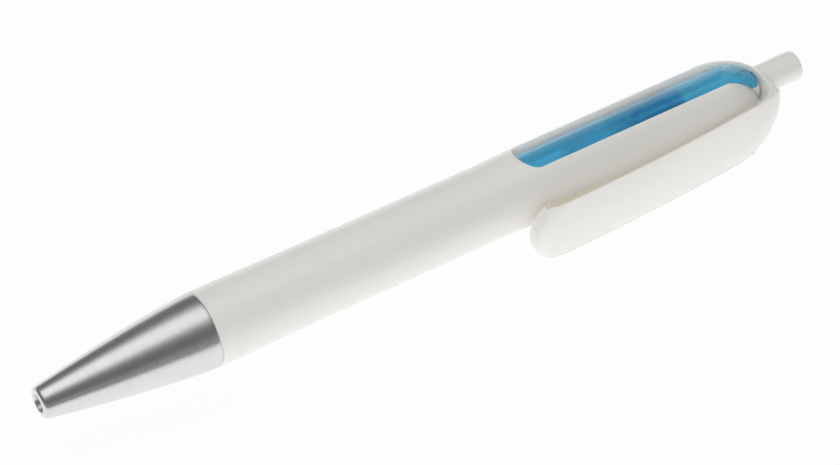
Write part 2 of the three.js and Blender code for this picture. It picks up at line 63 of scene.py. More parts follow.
finishes = {
    "white": {"tints": ((0.868, 0.850, 0.812), (0.888, 0.870, 0.832)), "roughness": (0.20, 0.27)},
    # painted shade: darker, warmer tints for the clip rib's recessed sides in the gap beside the barrel
    "ribShadeWhite": {"tints": ((0.66, 0.60, 0.465), (0.70, 0.645, 0.51)), "roughness": (0.28, 0.36)},
    "satinMetal": {"tints": ((0.750, 0.748, 0.744), (0.790, 0.788, 0.785)), "roughness": (0.26, 0.32)},
    "clearBlue": {"tints": ((0.015, 0.55, 0.90), (0.022, 0.59, 0.94)), "roughness": (0.05, 0.10)},
    "camBlue": {"tints": ((0.015, 0.08, 0.40), (0.022, 0.10, 0.46)), "roughness": (0.25, 0.33)},
    "rotorBlue": {"tints": ((0.07, 0.34, 0.66), (0.09, 0.38, 0.70)), "roughness": (0.30, 0.38)},
    "clearTube": {"tints": ((0.80, 0.83, 0.84), (0.86, 0.88, 0.89)), "roughness": (0.08, 0.16)},
    "inkPaste": {"tints": ((0.006, 0.014, 0.075), (0.010, 0.022, 0.11)), "roughness": (0.30, 0.38)},
    "brass": {"tints": ((0.52, 0.36, 0.13), (0.60, 0.43, 0.17)), "roughness": (0.22, 0.32)},
    "steel": {"tints": ((0.52, 0.52, 0.53), (0.62, 0.62, 0.63)), "roughness": (0.20, 0.30)},
}
noiseRange = (0.3, 0.7)  # where a noise spends most of its values
whiteIor, clearIor = 1.50, 1.49
skinBump = 0.000004
turningBump = 0.0000008


def clearedTree(holder):
    holder.use_nodes = True
    holder.node_tree.nodes.clear()
    return holder.node_tree.nodes, holder.node_tree.links


def mixed(nodes, links, share, first, second):
    mix = nodes.new("ShaderNodeMixShader")
    for socket, source in zip(mix.inputs, (share, first, second)):
        links.new(source, socket)
    return mix.outputs[0]


def newMaterial(name):
    material = bpy.data.materials.new(name)
    nodes, links = clearedTree(material)
    output = nodes.new("ShaderNodeOutputMaterial")
    shader = nodes.new("ShaderNodeBsdfPrincipled")
    links.new(shader.outputs["BSDF"], output.inputs["Surface"])
    return material, nodes, links, shader


def noiseOn(nodes, links, scale, stretch=(1, 1, 1), detail=2):
    coords = nodes.new("ShaderNodeTexCoord")
    mapping = nodes.new("ShaderNodeMapping")
    mapping.inputs["Scale"].default_value = stretch
    noise = nodes.new("ShaderNodeTexNoise")
    noise.inputs["Scale"].default_value = scale
    noise.inputs["Detail"].default_value = detail
    links.new(coords.outputs["Object"], mapping.inputs["Vector"])
    links.new(mapping.outputs["Vector"], noise.inputs["Vector"])
    return noise.outputs["Fac"]


def roughened(nodes, links, value, finish):
    low, high = finishes[finish]["roughness"]
    ramp = nodes.new("ShaderNodeMapRange")
    ramp.inputs["From Min"].default_value = noiseRange[0]
    ramp.inputs["From Max"].default_value = noiseRange[1]
    ramp.inputs["To Min"].default_value = low
    ramp.inputs["To Max"].default_value = high
    links.new(value, ramp.inputs["Value"])
    return ramp.outputs["Result"]


def tinted(nodes, links, value, finish):
    ramp = nodes.new("ShaderNodeValToRGB")
    tints = finishes[finish]["tints"]
    for element, place, color in zip(ramp.color_ramp.elements, noiseRange, tints):
        element.position = place
        element.color = (*color, 1)
    links.new(value, ramp.inputs["Fac"])
    return ramp.outputs["Color"]


def bumpFrom(nodes, links, value, distance):
    bump = nodes.new("ShaderNodeBump")
    bump.inputs["Strength"].default_value = 1.0
    bump.inputs["Distance"].default_value = distance
    links.new(value, bump.inputs["Height"])
    return bump.outputs["Normal"]


def whitePlastic(name="whitePlastic", share=0.0, depth=0.0015):
    # Glossy moulded plastic: a faint flow tint, and a skin that is never quite even. Thin walls
    # of it let some light through.
    material, nodes, links, shader = newMaterial(name)
    shader.inputs["Subsurface Weight"].default_value = share
    shader.inputs["Subsurface Scale"].default_value = depth
    shader.inputs["Subsurface Radius"].default_value = (1.0, 0.9, 0.7)  # red goes deepest
    flow = noiseOn(nodes, links, 160, (0.25, 1, 1))
    skin = noiseOn(nodes, links, 1400)
    links.new(tinted(nodes, links, flow, "white"), shader.inputs["Base Color"])
    links.new(roughened(nodes, links, skin, "white"), shader.inputs["Roughness"])
    links.new(bumpFrom(nodes, links, skin, skinBump), shader.inputs["Normal"])
    shader.inputs["IOR"].default_value = whiteIor
    return material


def ribShadePlastic():
    # The same plastic with darker, warmer tints: painted shade and warm bounced light for the clip rib's
    # recessed sides
    material, nodes, links, shader = newMaterial("ribShadePlastic")
    flow = noiseOn(nodes, links, 160, (0.25, 1, 1))
    links.new(tinted(nodes, links, flow, "ribShadeWhite"), shader.inputs["Base Color"])
    links.new(roughened(nodes, links, flow, "ribShadeWhite"), shader.inputs["Roughness"])
    shader.inputs["IOR"].default_value = whiteIor
    return material


def satinMetal():
    # Plated nose: fine turning lines round the axis under a satin plating.
    material, nodes, links, shader = newMaterial("satinMetal")
    turning = noiseOn(nodes, links, 900, (6, 0.25, 0.25), 3)
    cloud = noiseOn(nodes, links, 300)
    links.new(tinted(nodes, links, cloud, "satinMetal"), shader.inputs["Base Color"])
    links.new(roughened(nodes, links, turning, "satinMetal"), shader.inputs["Roughness"])
    links.new(bumpFrom(nodes, links, turning, turningBump), shader.inputs["Normal"])
    shader.inputs["Metallic"].default_value = 1.0
    return material


def clearBlue():
    # Clear tinted plastic. Part of the light passes it straight, as a thin wall lets it do.
    material, nodes, links, shader = newMaterial("clearBlue")
    flow = noiseOn(nodes, links, 220, (0.3, 1, 1))
    links.new(tinted(nodes, links, flow, "clearBlue"), shader.inputs["Base Color"])
    links.new(roughened(nodes, links, flow, "clearBlue"), shader.inputs["Roughness"])
    shader.inputs["Transmission Weight"].default_value = 0.72
    shader.inputs["Alpha"].default_value = 0.60
    shader.inputs["IOR"].default_value = clearIor
    return material


def plainPlastic(name, transmission=0.0, alpha=1.0):
    material, nodes, links, shader = newMaterial(name)
    flow = noiseOn(nodes, links, 500)
    links.new(tinted(nodes, links, flow, name), shader.inputs["Base Color"])
    links.new(roughened(nodes, links, flow, name), shader.inputs["Roughness"])
    shader.inputs["IOR"].default_value = clearIor
    shader.inputs["Transmission Weight"].default_value = transmission
    shader.inputs["Alpha"].default_value = alpha
    return material


def plainMetal(name):
    material, nodes, links, shader = newMaterial(name)
    turning = noiseOn(nodes, links, 1200, (5, 0.3, 0.3))
    links.new(tinted(nodes, links, turning, name), shader.inputs["Base Color"])
    links.new(roughened(nodes, links, turning, name), shader.inputs["Roughness"])
    shader.inputs["Metallic"].default_value = 1.0
    return material


white = whitePlastic()
thinWhite = whitePlastic("thinWhitePlastic", 0.25)
rimWhite = whitePlastic("rimWhitePlastic", 1.0, 0.005)
# painted shade for the clip rib's recessed sides
ribShadeWhite = ribShadePlastic()
satin = satinMetal()
blue = clearBlue()
camBlue = plainPlastic("camBlue")
rotorBlue = plainPlastic("rotorBlue", alpha=0.35)
clearTube = plainPlastic("clearTube", transmission=0.6)
inkPaste = plainPlastic("inkPaste")
brass = plainMetal("brass")
steel = plainMetal("steel")
print("materials made")


# Meshes

weldGap, leastEdge = 0.003, 0.0005
sharpAngle, turnedSharp = 34, 40
mostOfSide = 0.45  # no rounding takes more of a side than this


def linkedObject(name, data):
    made = bpy.data.objects.new(name, data)
    bpy.context.scene.collection.objects.link(made)
    return made


def meshFrom(name, points, faces):
    mesh = bpy.data.meshes.new(name)
    mesh.from_pydata((np.asarray(points, float) * mm).tolist(), [], faces)
    return mesh


def solidFrom(name, operator, **sizes):
    # A plain solid at the origin, made by one of bmesh's operators
    mesh = bpy.data.meshes.new(name)
    work = bmesh.new()
    operator(work, **sizes)
    work.to_mesh(mesh)
    work.free()
    return mesh


def evaluatedMesh(holder):
    bpy.context.view_layer.update()
    seen = holder.evaluated_get(bpy.context.evaluated_depsgraph_get())
    return bpy.data.meshes.new_from_object(seen)


def cutWith(piece, cutter):
    # Takes the cutter's solid out of the piece
    tool = linkedObject(cutter.name, cutter)
    modifier = piece.modifiers.new(cutter.name, "BOOLEAN")
    modifier.operation = "DIFFERENCE"
    modifier.solver = "EXACT"
    modifier.object = tool
    made = evaluatedMesh(piece)
    piece.modifiers.clear()
    piece.data = made
    bpy.data.objects.remove(tool)


def smoothShaded(mesh, sharp):
    for polygon in mesh.polygons:
        polygon.use_smooth = True
    mesh.set_sharp_from_angle(angle=math.radians(sharp))


def penPoint(x):
    # A place on the pen's axis, in the frame
    return penOrigin + Vector((x * mm, 0, 0))


def meshPiece(name, points, faces, material, body, nodes, sharp=sharpAngle):
    return finishPiece(linkedObject(name, meshFrom(name, points, faces)), material, body, nodes, sharp)


def finishPiece(piece, material, body, nodes, sharp=sharpAngle):
    mesh = piece.data
    work = bmesh.new()
    work.from_mesh(mesh)
    bmesh.ops.remove_doubles(work, verts=work.verts, dist=weldGap * mm)
    bmesh.ops.dissolve_degenerate(work, edges=work.edges, dist=leastEdge * mm)
    bmesh.ops.recalc_face_normals(work, faces=work.faces)
    if work.calc_volume(signed=True) < 0:
        bmesh.ops.reverse_faces(work, faces=work.faces)
    loose = [edge for edge in work.edges if not edge.link_faces]
    bmesh.ops.delete(work, geom=loose, context="EDGES")
    openEdges = sum(1 for edge in work.edges if not edge.is_manifold)
    work.to_mesh(mesh)
    work.free()
    mesh.transform(Matrix.Translation(penOrigin))
    smoothShaded(mesh, sharp)
    mesh.materials.clear()
    mesh.materials.append(material)
    for polygon in mesh.polygons:
        polygon.material_index = 0
    if body:
        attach(piece, body)
    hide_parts(*nodes)
    print(piece.name, len(mesh.polygons), "faces,", openEdges, "open edges")
    return piece


def gridFaces(rows, columns, start=0, closed=False):
    faces = []
    for row in range(rows - 1):
        for column in range(columns if closed else columns - 1):
            after = (column + 1) % columns
            a, b = start + row * columns + column, start + row * columns + after
            faces.append((a, b, b + columns, a + columns))
    return faces


def tubeFaces(rows, columns):
    # A closed grid with a face on each end
    last = rows * columns - 1
    ends = [tuple(range(columns)), tuple(range(last, last - columns, -1))]
    return gridFaces(rows, columns, 0, True) + ends


class Patchwork:
    # Grids of points that are sewn together where their edges meet
    def __init__(self):
        self.points, self.faces = [], []

    def grid(self, rows):
        rows = np.asarray(rows, float)
        start = len(self.points)
        self.points.extend(rows.reshape(-1, 3).tolist())
        self.faces.extend(gridFaces(rows.shape[0], rows.shape[1], start))

    def cap(self, ring):
        start = len(self.points)
        ring = np.asarray(ring, float)
        self.points.extend(ring.tolist())
        middle = len(self.points)
        self.points.append(ring.mean(0).tolist())
        for i in range(len(ring)):
            self.faces.append((start + i, start + (i + 1) % len(ring), middle))


def softStep(t):
    t = np.clip(t, 0, 1)
    return t * t * (3 - 2 * t)


def bezier(a, corner, b, steps):
    t = np.linspace(0, 1, steps + 1)[:, None]
    a, corner, b = (np.asarray(p, float)[None] for p in (a, corner, b))
    return (1 - t) ** 2 * a + 2 * t * (1 - t) * corner + t**2 * b


def straight(a, b, steps):
    # The points after a on the way to b
    return np.c_[np.linspace(a[0], b[0], steps + 1), np.linspace(a[1], b[1], steps + 1)][1:]


# Barrel with its window, its tongue and the loop at its end

barrel = {
    "seam": 28.3,
    "radius": 6.2,
    "waist": 0.14,
    "frontEase": 22.0,
    "rearEase": 7.0,
    "bore": 5.2,
    "windowFront": 85.35,
    "windowRound": 2.9,
    "windowBack": 4.95,
    "windowClip": 2.15,
    "loopStart": 122.3,
    "loopReach": 10.4,
    "loopMiddle": 3.4,
    "holeX": 123.0,
    "holeBack": 7.1,
    "holeClip": 6.6,
    "boreDomeStart": 124.8,
    "tongueBoreEnd": 122.8,
    "tongueStart": 123.3,
    "tongueReach": 6.4,
    "tongueMiddle": 2.3,
    "tongueThin": 1.54,
    "tongueNarrow": 1.3,
    "seamEdge": 0.18,
    "windowEdge": 0.14,
    "edgeStretch": 1.4,
    "boreEdge": 0.5,
    "boreEdgeShare": 0.8,
    "buttonHole": 2.64,
    "buttonHoleFrom": 127.5,
    "buttonHoleLength": 12.0,
    "buttonHoleSegments": 96,
    "clipCut": 125.3,
    # Walls that light comes through, as places, heights and the tilt of their faces
    "thinFrom": 127.0,
    "thinHeight": 5.9,
    "thinTilt": 0.6,
    # Where the two rounded ends stop, as shares of their reach, so that they don't come to a point
    "loopLast": 0.9999,
    "tongueLast": 0.99995,
    # Steps of the mesh
    "columns": 72,
    "frontSteps": 16,
    "seamSteps": 6,
    "bodySteps": 48,
    "windowSteps": 40,
    "cornerSteps": 4,
    "wallSteps": 3,
    "straightSteps": 4,
    "loopSteps": 121,
    "outerSteps": 481,
    "tongueSteps": 40,
}
clip = {
    "tip": 81.7,
    "halfWidth": 6.2,
    "edgeRise": 4.68,
    "edgeArc": 424.0,
    "edgeFlat": 1.5,
    "arch": 1.0,
    "lip": 0.2,
    "innerRise": 3.48,
    "innerArc": 192.0,
    "innerFlat": 17.5,
    "tipRound": 2.6,
    "tipFall": 1.0,
    "tipFallWidth": 2.4,
    "sideInset": 0.25,
    "ribFront": 3.1,
    "ribBack": 124.95,
    "ribEase": 0.3,
    "ribBackEase": 0.5,
    "ribRound": 0.28,
    "edgeRadius": 0.2,
    "edgeDepth": 0.16,
    "lipStep": 0.08,
    "lipRise": 0.05,
    "cornerBlend": 0.7,
    "cornerFrom": 0.6,
    "flexEnd": 108.0,
    "ribTilt": 0.7,
    "mostRound": 0.4,
    "edgePull": 0.6,
    # Sections of the mesh
    "tipSections": (0.02, 3.2, 44),  # least share, reach past the tip, count
    "ribSections": (3.3, 4.3, 14),  # from and to, past the tip, count
    "armSections": (4.5, 124.4, 90),  # from, past the tip, to, count
    "rootSections": (124.5, 18),  # from, count
    # Points along a section
    "crestPoints": 22,
    "overPoints": 6,
    "lipPoints": 3,
    "sidePoints": 7,
    "turnPoints": 5,
    "floorPoints": 12,
}


def barrelRadiusAt(x):
    slimmed = softStep((x - barrel["seam"]) / barrel["frontEase"])
    swollen = softStep((x - barrel["windowFront"] + barrel["rearEase"]) / barrel["rearEase"])
    return barrel["radius"] - barrel["waist"] * (slimmed - swollen)


def clipEdgeAt(x):
    bend = (x - clip["tip"] - clip["edgeFlat"]) ** 2 / (2 * clip["edgeArc"])
    return barrel["radius"] + clip["edgeRise"] - bend


def clipInnerAt(x):
    bend = (x - clip["tip"] - clip["innerFlat"]) ** 2 / (2 * clip["innerArc"])
    return barrel["radius"] + clip["innerRise"] - bend


def loopShareAt(x):
    t = np.clip((x - barrel["loopStart"]) / barrel["loopReach"], 0, barrel["loopLast"])
    return np.sqrt(1 - t * t)


def loopDepth(x, y, z):
    # Negative inside the loop's outer surface
    share = loopShareAt(x)
    middle, radius, rim = barrel["loopMiddle"], barrel["radius"], clip["edgeRadius"]
    y = (y + middle) / share - middle
    z = np.abs(z) / share
    side = z - radius
    face = -y - clipEdgeAt(x) - clip["arch"] * (1 - np.minimum(z / radius, 1) ** 2)
    both = (side > -rim) & (face > -rim)
    corner = np.hypot(np.maximum(side + rim, 0), np.maximum(face + rim, 0)) - rim
    clipSide = np.where(both, corner, np.maximum(side, face))
    depth = np.where(y >= 0, np.hypot(y, z) - radius, clipSide)
    return np.maximum(depth, x - barrel["loopStart"] - barrel["loopReach"])


def boreDepth(x, y, z):
    along = np.maximum(x - barrel["boreDomeStart"], 0)
    return np.sqrt(along**2 + y**2 + z**2) - barrel["bore"]


halvings = 40


def solveOn(inside, low, high):
    # Halves the span between a point inside and a point outside, for a whole array at once.
    low, high = np.array(low, float), np.array(high, float)
    for _ in range(halvings):
        middle = (low + high) / 2
        hit = inside(middle)
        low = np.where(hit, middle, low)
        high = np.where(hit, high, middle)
    return (low + high) / 2


def cornerAndWall(a, corner, wallEnd):
    # From the outer surface round the window's edge and down its wall
    down = np.asarray(wallEnd, float) - np.asarray(corner, float)
    depth = min(barrel["windowEdge"] * barrel["edgeStretch"], mostOfSide * np.linalg.norm(down))
    b = np.asarray(corner, float) + down / np.linalg.norm(down) * depth
    share = np.linspace(0, 1, barrel["wallSteps"] + 1)[1:, None]
    wall = b[None] + (np.asarray(wallEnd) - b)[None] * share
    return np.vstack([bezier(a, corner, b, barrel["cornerSteps"]), wall])


def strip(side, station):
    # One cross section of the barrel beside its window: outer arc, the two walls and the bore.
    # Heights run away from the window, so u is y on the back and minus y on the clip side.
    (xOut, uOut), (xIn, uIn) = station
    radius = float(barrelRadiusAt(xOut))
    radiusIn = float(barrelRadiusAt(xIn))
    columns = barrel["columns"]
    angle = math.acos(uOut / radius) * np.linspace(-1, 1, columns)
    outer = np.c_[np.full(columns, xOut), radius * np.cos(angle), radius * np.sin(angle)]
    if uIn < barrel["bore"]:
        angle = math.acos(uIn / barrel["bore"]) * np.linspace(-1, 1, columns)
    else:
        angle = np.zeros(columns)
    bore = np.c_[np.full(columns, xIn), barrel["bore"] * np.cos(angle), barrel["bore"] * np.sin(angle)]
    corner = (xIn, uIn, math.sqrt(radiusIn**2 - uIn**2))
    wall = cornerAndWall(outer[-1], corner, bore[-1])
    flip = np.array([1, 1, -1.0])
    parts = [outer, wall, bore, wall * flip]
    for part in parts:
        part[:, 1] *= side
    return parts


def windowStations(side):
    middle = (barrel["windowBack"] - barrel["windowClip"]) / 2
    half = (barrel["windowBack"] + barrel["windowClip"]) / 2
    edge, depth = barrel["windowEdge"], barrel["windowRound"]
    centre = barrel["windowFront"] + depth
    stations = []
    for t in np.linspace(0, math.pi / 2, barrel["windowSteps"]):
        out = (centre - (depth + edge) * math.cos(t), side * middle + (half + edge) * math.sin(t))
        wall = (centre - depth * math.cos(t), side * middle + half * math.sin(t))
        stations.append((out, wall))
    last = barrel["windowBack"] if side > 0 else barrel["windowClip"]
    end = barrel["loopStart"] if side > 0 else barrel["tongueBoreEnd"]
    for x in np.linspace(centre, end, barrel["windowSteps"])[1:]:
        stations.append(((x, last + edge), (x, last)))
    return stations


def frontRows(side, first, bore):
    # The closed tube in front of the window, from its bore round the seam's edge and back along it
    columns, edge, seam = barrel["columns"], barrel["seamEdge"], barrel["seam"]
    outAngle = np.arctan2(first[:, 2], side * first[:, 1])
    boreAngle = np.arctan2(bore[:, 2], side * bore[:, 1])
    rows = []
    for x in np.linspace(bore[0, 0], seam, barrel["frontSteps"]):
        share = (x - seam) / (bore[0, 0] - seam)
        angle = outAngle + (boreAngle - outAngle) * share
        rows.append((x, barrel["bore"], angle))
    outer = float(barrelRadiusAt(seam))
    for t in np.linspace(0, math.pi / 2, barrel["seamSteps"]):
        rows.append((seam + edge * (1 - math.cos(t)), outer - edge * (1 - math.sin(t)), outAngle))
    for x in np.linspace(seam + edge, first[0, 0], barrel["bodySteps"])[1:]:
        rows.append((x, float(barrelRadiusAt(x)), outAngle))
    made = []
    for x, radius, angle in rows:
        made.append(np.c_[np.full(columns, x), side * radius * np.cos(angle), radius * np.sin(angle)])
    return made


def loopSection(origin, turn):
    # A cut through the loop in the upright plane that leaves origin at the angle turn
    columns, edge = barrel["columns"], barrel["windowEdge"]
    direction = np.array([math.cos(turn), math.sin(turn)])

    def at(rho, z):
        rho = np.asarray(rho, float)
        return origin[0] + rho * direction[0], origin[1] + rho * direction[1], z

    def inHole(rho):
        x, y, _ = at(rho, 0)
        reach = barrel["holeClip"] if y < -barrel["windowClip"] else barrel["holeBack"]
        if x < barrel["holeX"] and turn > 0:
            return abs(y + barrel["windowClip"]) < reach
        alongShare = (x - barrel["holeX"]) / barrel["holeBack"]
        acrossShare = (y + barrel["windowClip"]) / reach
        return alongShare**2 + acrossShare**2 < 1

    wholeReach, wholeHeight, boreReach = 9.0, 7.0, 3.0
    low, high = 0.0, wholeReach
    for _ in range(halvings):
        middle = (low + high) / 2
        low, high = (middle, high) if inHole(middle) else (low, middle)
    wallAt = low

    def heightAt(rho):
        return float(solveOn(lambda z: loopDepth(*at(rho, z)) < 0, [0.0], [wholeHeight])[0])

    corner = heightAt(wallAt)
    start = heightAt(wallAt + edge)
    # The outer curve, first by its angle seen from the wall, then spaced evenly
    pivot = wallAt + edge
    angles = np.linspace(-math.pi / 2, math.pi / 2, barrel["outerSteps"])

    def inOuter(reach):
        return loopDepth(*at(pivot + reach * np.cos(angles), reach * np.sin(angles))) < 0

    reach = solveOn(inOuter, np.zeros(len(angles)), np.full(len(angles), wholeReach))
    rho, z = pivot + reach * np.cos(angles), reach * np.sin(angles)
    length = np.r_[0, np.cumsum(np.hypot(np.diff(rho), np.diff(z)))]
    even = np.linspace(0, length[-1], columns)
    rho, z = np.interp(even, length, rho), np.interp(even, length, z)
    x, y, z = at(rho, z)
    outer = np.c_[x, y, z]
    outer[0, 2], outer[-1, 2] = -start, start

    def point(rho, z):
        x, y, z = at(rho, z)
        return np.array([x, y, z], float)

    # The bore, from the height at which it meets the wall
    x, y, _ = at(wallAt, 0)
    meets = math.sqrt(max(barrel["bore"] ** 2 - y**2 - max(x - barrel["boreDomeStart"], 0) ** 2, 0))
    meets = min(max(meets, barrel["boreEdge"]), barrel["boreEdgeShare"] * corner)
    spreadAngle = math.acos(barrel["windowBack"] / barrel["bore"]) * np.linspace(-1, 1, columns)
    heights = meets * np.sin(spreadAngle) / math.sin(spreadAngle[-1])
    near, far = np.full(columns, wallAt), np.full(columns, wallAt + boreReach)
    bored = solveOn(lambda r: boreDepth(*at(r, heights)) < 0, near, far)
    bored = np.where(boreDepth(*at(near, heights)) < 0, bored, wallAt)
    x, y, z = at(bored, heights)
    bore = np.c_[x, y, z]
    wall = cornerAndWall(outer[-1], point(wallAt, corner), bore[-1])
    return [outer, wall, bore, wall * np.array([1, 1, -1.0])]


def loopSections():
    sections = []
    for x in np.linspace(barrel["loopStart"], barrel["holeX"], barrel["straightSteps"]):
        sections.append(loopSection((x, -barrel["windowClip"]), math.pi / 2))
    shift = barrel["clipCut"] - barrel["holeX"]
    for turn in np.linspace(90, -90, barrel["loopSteps"])[1:]:
        moved = shift * float(softStep(-turn / 90))
        origin = (barrel["holeX"] + moved, -barrel["windowClip"])
        sections.append(loopSection(origin, math.radians(turn)))
    return sections


def tongueEnd(last):
    # The tongue is solid behind the bore, and its end is rounded from the side and from above.
    flat = [part.copy() for part in last]
    flat[2][:, 1] = -barrel["windowClip"]
    rows = []
    boreCap = 0.04
    for x in (barrel["tongueBoreEnd"] + boreCap, barrel["tongueStart"]):
        moved = [part.copy() for part in flat]
        for part in moved:
            part[:, 0] = x
        rows.append(moved)
    middle = barrel["tongueMiddle"]
    for turn in np.linspace(0, 90, barrel["tongueSteps"])[1:]:
        t = min(math.sin(math.radians(turn)), barrel["tongueLast"])
        thin = (1 - t ** barrel["tongueThin"]) ** (1 / barrel["tongueThin"])
        narrow = (1 - t ** barrel["tongueNarrow"]) ** (1 / barrel["tongueNarrow"])
        moved = [part.copy() for part in flat]
        for part in moved:
            part[:, 0] = barrel["tongueStart"] + barrel["tongueReach"] * t
            part[:, 1] = (part[:, 1] + middle) * thin - middle
            part[:, 2] *= narrow
        rows.append(moved)
    return rows


def makeBarrel():
    work = Patchwork()
    for side in (1, -1):
        parts = [strip(side, station) for station in windowStations(side)]
        if side > 0:
            parts += loopSections()[1:]
        else:
            parts += tongueEnd(parts[-1])
        front = frontRows(side, parts[0][0], parts[0][2])
        work.grid(front)
        for surface in zip(*parts):
            work.grid(surface)
        last = parts[-1]
        work.cap(np.vstack([last[0], last[1][1:], last[2][::-1][1:], last[3][::-1][1:-1]]))
    piece = meshPiece("barrelShell", work.points, work.faces, white, "body",
                      ["barrel_shell"])
    cutButtonHole(piece)
    paintBarrel(piece)


def cutButtonHole(piece):
    length, radius = barrel["buttonHoleLength"], barrel["buttonHole"] * mm
    cutter = solidFrom("buttonHoleCutter", bmesh.ops.create_cone, cap_ends=True, radius1=radius,
                       radius2=radius, depth=length * mm, segments=barrel["buttonHoleSegments"])
    cutter.transform(Matrix.Rotation(math.pi / 2, 4, "Y"))
    cutter.transform(Matrix.Translation(penPoint(barrel["buttonHoleFrom"] + length / 2)))
    cutWith(piece, cutter)
    smoothShaded(piece.data, sharpAngle)
    print("button hole cut,", len(piece.data.polygons), "faces")


def paintBarrel(piece):
    # All but the clip's side of the loop, where the clip of the same plastic joins on, lets light
    # through, and the walls that face the window do so most.
    piece.data.materials.append(thinWhite)
    piece.data.materials.append(rimWhite)
    for polygon in piece.data.polygons:
        x, y, z = (polygon.center - penOrigin) / mm
        if y <= -barrel["radius"]:
            continue
        polygon.material_index = 1
        upright = abs(polygon.normal.z) < barrel["thinTilt"] and abs(z) < barrel["thinHeight"]
        isWall = upright and x > barrel["windowFront"]
        towardsWindow = polygon.normal.y < 0 and y > 0 or polygon.normal.x < 0 and x > barrel["thinFrom"]
        if isWall and towardsWindow:
            polygon.material_index = 2


makeBarrel()


# Clip, from the loop to its rounded tip

def clipRing(x):
    # One cross section, from the middle of the outer face over the edge and along the rib's side
    half, arch, lip, rim = clip["halfWidth"], clip["arch"], clip["lip"], clip["edgeRadius"]
    tipArc = (half**2 + clip["tipRound"] ** 2) / (2 * clip["tipRound"])
    along = x - clip["tip"]
    width = half
    if along < tipArc:
        arcHalf = math.sqrt(max(tipArc**2 - (tipArc - along) ** 2, 1e-8))
        blend = clip["cornerBlend"]
        h = max(blend - abs(arcHalf - half), 0) / blend
        width = min(arcHalf, half) - h * h * blend / 4 if along > clip["cornerFrom"] else arcHalf

    def faceAt(z):
        rise = arch * (1 - (z / half) ** 2)
        inward = np.maximum(0, tipArc - np.hypot(tipArc - along, z))
        rolled = np.ones_like(z) if along > tipArc else np.minimum(1, inward / clip["tipFallWidth"])
        fall = clip["tipFall"] * (1 - np.sqrt(np.maximum(0, 1 - (1 - rolled) ** 2)))
        return clipEdgeAt(x) + rise - fall

    share = float(loopShareAt(x))
    ease, backEase = clip["ribEase"], clip["ribBackEase"]
    inset = clip["sideInset"] * float(softStep((along - clip["ribFront"]) / ease))
    inset *= 1 - float(softStep((x - clip["ribBack"]) / ease))
    ribBack = float(softStep((x - clip["ribBack"] + backEase / 2) / backEase))
    hole = max(1 - ((x - barrel["holeX"]) / barrel["holeBack"]) ** 2, 0)
    innerHole = barrel["windowClip"] + barrel["holeClip"] * math.sqrt(hole)
    inner = float(clipInnerAt(x)) * (1 - ribBack) + innerHole * ribBack
    most = clip["mostRound"] * width
    rim = min(rim, most)
    z = np.linspace(0, width - rim, clip["crestPoints"])
    crest = np.c_[faceAt(z), z]
    sideTop = float(faceAt(np.array([width]))[0])
    lipLine = min(float(clipEdgeAt(x)) - lip, sideTop - clip["edgeDepth"])
    low = max(lipLine + clip["lipRise"], sideTop - 2 * rim)
    overEnd = (sideTop - (sideTop - low) * clip["edgePull"], width)
    over = bezier(crest[-1], (sideTop, width), overEnd, clip["overPoints"])[1:]
    ribSide = width - min(inset, most)
    lipEnd = max(width - clip["lipStep"], ribSide)
    under = bezier((low, width), (lipLine, width), (lipLine, lipEnd), clip["lipPoints"])
    step = straight((lipLine, lipEnd), (lipLine, ribSide), clip["lipPoints"])
    soft = min(clip["ribRound"], most)
    side = straight((lipLine, ribSide), (inner + soft, ribSide), clip["sidePoints"])
    turnEnd = (inner, ribSide - soft)
    turnIn = bezier((inner + soft, ribSide), (inner, ribSide), turnEnd, clip["turnPoints"])[1:]
    floor = straight(turnEnd, (inner, 0), clip["floorPoints"])
    profile = np.vstack([crest, over, under, step, side, turnIn, floor])
    outerCount = len(crest) + len(over) + len(under) + len(step)
    middle = barrel["loopMiddle"]
    a, z = profile[:, 0].copy(), profile[:, 1] * share
    a[:outerCount] = (a[:outerCount] - middle) * share + middle
    right = np.c_[np.full(len(a), x), -a, z]
    left = right[::-1][1:-1] * np.array([1, 1, -1.0])
    return np.vstack([right, left])


def makeClip():
    # Sections are close together at the rounded tip, at the rib's front end and at the loop.
    first, reach, count = clip["tipSections"]
    tip = clip["tip"] + reach * np.linspace(first, 1, count) ** 2
    ribStep = clip["tip"] + np.linspace(*clip["ribSections"])
    start, end, count = clip["armSections"]
    arm = np.linspace(clip["tip"] + start, end, count)
    start, count = clip["rootSections"]
    root = np.linspace(start, barrel["clipCut"], count)
    rings = [clipRing(x) for x in np.r_[tip, ribStep, arm, root]]
    faces = tubeFaces(len(rings), len(rings[0]))
    piece = meshPiece("clipArm", np.vstack(rings), faces, white, None, ["clip"])
    # Painted shade: the rib's recessed faces that face up or down take the darker, warmer material.
    piece.data.materials.append(ribShadeWhite)
    for polygon in piece.data.polygons:
        x = (polygon.center.x - penOrigin.x) / mm
        depth = (penOrigin.y - polygon.center.y) / mm
        isRib = depth < float(clipEdgeAt(x)) - clip["lip"] and x < clip["ribBack"]
        if abs(polygon.normal.z) > clip["ribTilt"] and isRib:
            polygon.material_index = 1
    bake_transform(piece)


makeClip()


# Turned pieces: one node tree turns a profile of (x, radius) points round the pen's axis, and
# another sets ribs or teeth round it.

def mathNode(nodes, links, operation, a, b=None):
    node = nodes.new("ShaderNodeMath")
    node.operation = operation
    for socket, value in zip(node.inputs, (a, b)):
        if isinstance(value, (int, float)):
            socket.default_value = value
        elif value is not None:
            links.new(value, socket)
    return node.outputs[0]


def newTree(name, inputs):
    # A tree that takes and gives geometry, with its further inputs by name and kind
    tree = bpy.data.node_groups.new(name, "GeometryNodeTree")
    given = {"Geometry": "Geometry", **inputs, "Material": "Material"}
    for label, kind in given.items():
        tree.interface.new_socket(label, in_out="INPUT", socket_type="NodeSocket" + kind)
    tree.interface.new_socket("Geometry", in_out="OUTPUT", socket_type="NodeSocketGeometry")
    return tree, tree.nodes, tree.links, tree.nodes.new("NodeGroupInput")


